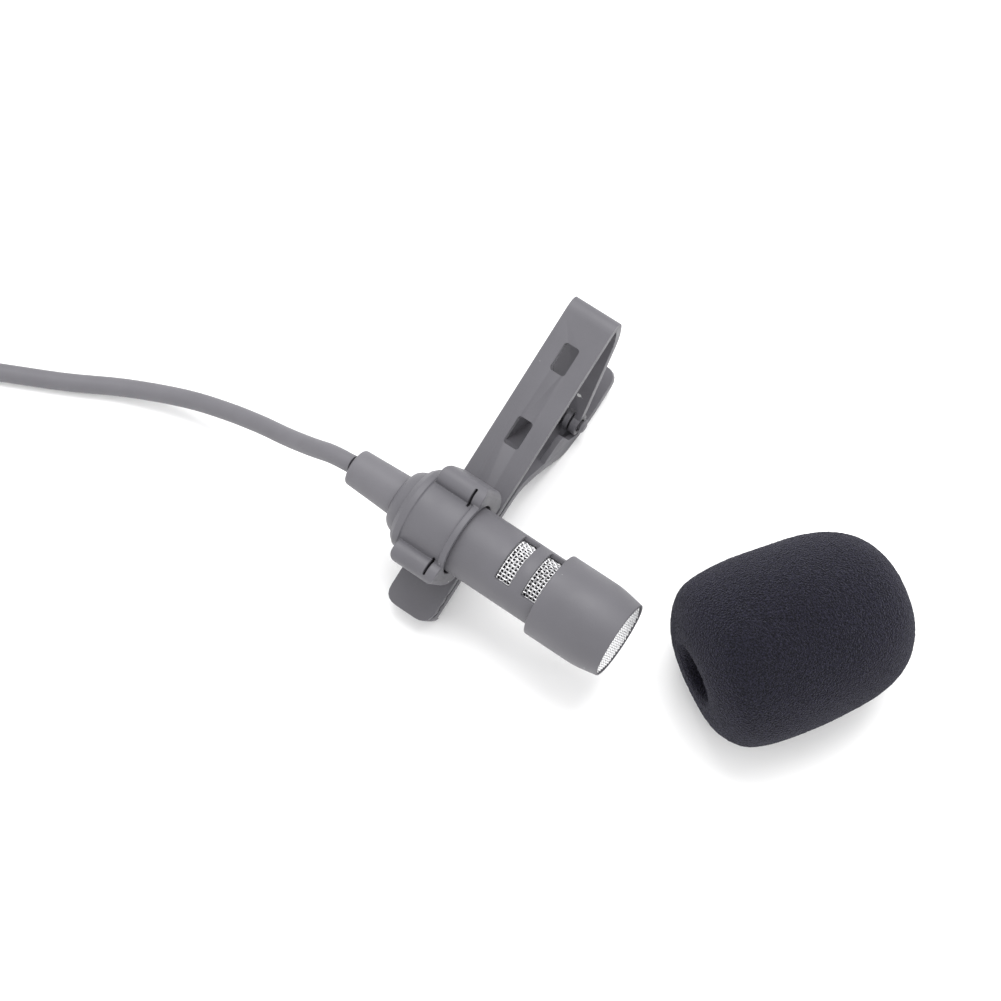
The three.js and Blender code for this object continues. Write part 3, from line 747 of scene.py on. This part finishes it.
def round_wire(name, points, place, radius, body, slot, finish, *nodes):
    curve = bpy.data.curves.new(name, "CURVE")
    curve.dimensions = "3D"
    curve.bevel_depth = radius * MM
    curve.bevel_resolution = 4
    curve.use_fill_caps = True
    line = curve.splines.new("POLY")
    line.points.add(len(points) - 1)
    for spot, p in zip(line.points, points):
        spot.co = (*(place @ Vector(p) * MM), 1)
    line.use_smooth = True
    curve.materials.append(finish)
    piece = bpy.data.objects.new(name, curve)
    bpy.context.scene.collection.objects.link(piece)
    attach(piece, body)
    if nodes:
        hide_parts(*nodes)


spring_first = arm_up - math.pi / 2
spring_last = arm_down + math.pi / 2 - 6 * math.pi


def on_spring(part):
    a = spring_first + (spring_last - spring_first) * part
    across = -0.8 + 1.6 * part
    return Vector((across, pivot_y + spring_radius * math.cos(a), pivot_z + spring_radius * math.sin(a)))


def arm(base, angle, reach):
    return base + Vector((0, reach * math.cos(angle), reach * math.sin(angle)))


winding = [on_spring(k / 96) for k in range(97)]
round_wire(
    "spring_winding", [arm(winding[0], arm_up, 5.6), *winding], on_clip, spring_wire, "clip", "spring_steel",
    spring_steel, "clip_spring",
)
round_wire(
    "spring_arm", [*winding[-5:], arm(winding[-1], arm_down, 6.4)], on_clip, spring_wire, "thumb_lever",
    "spring_steel", spring_steel,
)

# ---- Foam windscreen -----------------------------------------------------------------------------
# Open-cell polyurethane foam, dyed black and moulded to a blunt egg with a blind bore. Loose here;
# it is stretched over the head in use. The cells show as fine grain all over it.
foam_length, foam_radius, foam_mouth = 27.5, 11.3, 8.9
foam_widest, foam_edge, dome_fullness = 10.7, 3.6, 2 / 2.9
foam_bore, foam_bore_depth = 3.3, 16
foam_turn = Matrix.Rotation(math.radians(57.9), 4, "Z")
beside_microphone = Matrix.Translation((34.6, 2 - heel_y, foam_radius)) @ foam_turn
foam_color = (0.007, 0.0066, 0.012)


def foam_section():
    """Bore, rounded mouth, flank and dome, as places along the axis and radii."""
    def flank(x):
        return foam_radius - (foam_radius - foam_mouth) * (1 - x / foam_widest) ** 3
    section = [(foam_bore_depth, 0), (foam_bore_depth, foam_bore - 0.6), (foam_bore_depth - 0.6, foam_bore)]
    section += [(x, foam_bore) for x in (12, 8, 4, 1.4)]
    section += [(0.5, foam_bore + 0.15), (0.06, foam_bore + 0.7)]
    for k in range(1, 13):
        a = math.pi / 2 * k / 12
        x = foam_edge * (1 - math.cos(a))
        section.append((x, flank(x) - foam_edge * (1 - math.sin(a))))
    section += [(x, flank(x)) for x in (4.4, 5.3, 6.3, 7.4, 8.5, 9.6)]
    for k in range(25):
        a = math.pi / 2 * k / 25
        length = (foam_length - foam_widest) * math.sin(a) ** dome_fullness
        section.append((foam_widest + length, foam_radius * math.cos(a) ** dome_fullness))
    return [*section, (foam_length, 0)]


def even_steps(points, step):
    """The same outline with its points an even distance apart."""
    spots = [Vector(p) for p in points]
    line, carried = [spots[0]], 0.0
    for a, b in zip(spots, spots[1:]):
        length = (b - a).length
        while carried + length >= step:
            a = a + (b - a).normalized() * (step - carried)
            length = (b - a).length
            carried = 0.0
            line.append(a)
        carried += length
    return [*line[:-1], spots[-1]]


def foam_egg():
    egg = turned(even_steps(foam_section(), 0.24), 0, 280, closed=False)
    egg.calc_loop_triangles()
    moved = []
    for spot in egg.vertices:
        p, out = spot.co, spot.normal
        swell = 0.16 * noise.noise(p * 0.16 + Vector((7, 3, 1)))
        cells = 0.04 * noise.noise(p * 2.1) + 0.06 * noise.noise(p * 4.3 + Vector((3, 9, 2)))
        moved.append(p + out * (swell + cells - 0.09))
    for spot, place in zip(egg.vertices, moved):
        spot.co = place
    return egg


def foam_material():
    """Black foam: colour noise with painted light on the strut tips and painted shade in the open cells, and
    a soft dusty sheen.
    """
    finish, tree, shader = node_material("black_foam", foam_color, 1.0)
    shader.inputs["Specular IOR Level"].default_value = 0.2
    shader.inputs["Sheen Weight"].default_value = 0.12
    shader.inputs["Sheen Roughness"].default_value = 0.4
    shader.inputs["Sheen Tint"].default_value = (0.6, 0.6, 0.75, 1)
    nodes, links = tree.nodes, tree.links
    where = nodes.new("ShaderNodeTexCoord")
    cells = nodes.new("ShaderNodeTexVoronoi")
    cells.inputs["Scale"].default_value = 4200
    struts = nodes.new("ShaderNodeTexNoise")
    struts.inputs["Scale"].default_value = 5200
    struts.inputs["Detail"].default_value = 4
    # Painted light and shade: the ramp's pale end paints light on the strut tips, its dark end paints shade
    # in the open cells.
    tone = nodes.new("ShaderNodeValToRGB")
    tone.color_ramp.elements[0].position = 0.4
    tone.color_ramp.elements[1].position = 0.66
    tone.color_ramp.elements[0].color = (*[c * 0.45 for c in foam_color], 1)
    tone.color_ramp.elements[1].color = (*[c * 2.4 for c in foam_color], 1)
    pits = nodes.new("ShaderNodeBump")
    pits.inputs["Distance"].default_value = 0.00022
    fibres = nodes.new("ShaderNodeBump")
    fibres.inputs["Distance"].default_value = 0.0002
    links.new(where.outputs["Object"], cells.inputs["Vector"])
    links.new(where.outputs["Object"], struts.inputs["Vector"])
    links.new(struts.outputs[0], tone.inputs["Fac"])
    links.new(tone.outputs["Color"], shader.inputs["Base Color"])
    links.new(cells.outputs["Distance"], pits.inputs["Height"])
    links.new(struts.outputs[0], fibres.inputs["Height"])
    links.new(pits.outputs["Normal"], fibres.inputs["Normal"])
    links.new(fibres.outputs["Normal"], shader.inputs["Normal"])
    return finish


foam = put(
    "foam_windscreen_egg", foam_egg(), beside_microphone, "windscreen", "black_foam", foam_material(),
    "foam_windscreen",
)

# ---- Tie round the coil -----------------------------------------------------------------------------
# Moulded black strap, 6 mm wide, closed tightly round the wound cord for storage.
coil_inner, coil_outer, coil_height = 8.8, 19.4, 10.4
strap_width, strap_thickness = 6, 0.55
strap_at = math.radians(100)
strap_black = plain_finish("strap_black", (0.014, 0.014, 0.016), 0.5, 0, 2600, 0.00003)


def strap():
    loop = eased_corners([
        (coil_inner, 0), (coil_outer, 0), (coil_outer, coil_height), (coil_inner, coil_height),
    ], 2.9, steps=10)
    work = bmesh.new()
    spans = [strap_width * (k / 6 - 0.5) for k in range(7)]
    rings = [[work.verts.new((p.x, w, p.y)) for p in loop] for w in spans]
    count = len(loop)
    for ring, following in zip(rings, rings[1:]):
        for i in range(count):
            j = (i + 1) % count
            work.faces.new((ring[i], ring[j], following[j], following[i]))
    sheet_loop = finished_mesh(work, "strap")
    thick = "SOLIDIFY", {"thickness": strap_thickness, "offset": -1}
    return reworked(sheet_loop, thick, edge_break(0.16, 3, 50))


at_coil = Matrix.Translation((coil_x, coil_y - heel_y, 0)) @ Matrix.Rotation(strap_at, 4, "Z")
put("coil_strap", strap(), at_coil, "microphone", "black_plastic", strap_black, "coil_tie")

# ---- Jack plug --------------------------------------------------------------------------------------
# Four-pole 3.5 mm plug: ribbed rubber relief, turned cover in the same grey paint, and gilt brass
# contacts parted by black rings. It lies beside the coil.
at_plug = Matrix.Translation((-121.6, -21 - heel_y, 3.7)) @ Matrix.Rotation(math.pi / 2, 4, "Z")
pin = 1.75


def plug_piece(name, section, ease, slot, finish, node, closed=True):
    put(name, turned(section, ease, 96, closed), at_plug, "microphone", slot, finish, node)


relief_ribs = [(0, 1.5), (0, 1.95, 0.3)]
for k in range(7):
    x, r = 0.9 + 1.4 * k, 2.02 + 0.12 * k
    relief_ribs += [(x, r), (x, r - 0.35), (x + 0.5, r - 0.35), (x + 0.5, r + 0.04)]
relief_ribs += [(11, 2.9), (11, 1.5)]
plug_piece("plug_relief_sleeve", relief_ribs, 0.1, "cord_jacket", jacket, "plug_relief")
cover_section = [
    (11.3, 1.5), (11.3, 3.3, 0.3), (11.9, 3.7, 0.3), (24.4, 3.7), (24.4, 3.5), (24.8, 3.5), (24.8, 3.7),
    (26.6, 3.7, 0.3), (27.2, 3.35, 0.2), (27.2, 1.5),
]
plug_piece("plug_cover_shell", cover_section, 0.06, "grey_paint", paint, "plug_cover")
ring_section = [(12, 0), (12, 0.8)]
for x in (32.7, 35.3, 37.9):
    ring_section += [(x, 0.8), (x, pin), (x + 0.6, pin), (x + 0.6, 0.8)]
ring_section += [(40, 0.8), (40, 0)]
plug_piece("plug_insulators", ring_section, 0.04, "black_plastic", strap_black, "plug_insulation", False)
gilt = plain_finish("gilt_brass", (0.58, 0.4, 0.14), 0.22, 1.0, 8000, 0.000003, 0.06)
for name, node, start, end in (
    ("plug_sleeve_contact", "plug_sleeve", 27.5, 32.4), ("plug_ring_contact_2", "plug_ring_2", 33.6, 35),
    ("plug_ring_contact_1", "plug_ring_1", 36.2, 37.6),
):
    plug_piece(name, [(start, 1.1), (start, pin), (end, pin), (end, 1.1)], 0.07, "gold_plate", gilt, node)
tip_section = [
    (38.8, 1.1), (38.8, pin), (40, pin, 0.3), (40.6, 1.25, 0.4), (41.2, 1.7, 0.35), (42.8, 0.55, 0.3),
    (43, 0), (40.3, 0), (40.3, 1.1),
]
plug_piece("plug_tip_contact", tip_section, 0.07, "gold_plate", gilt, "plug_tip")
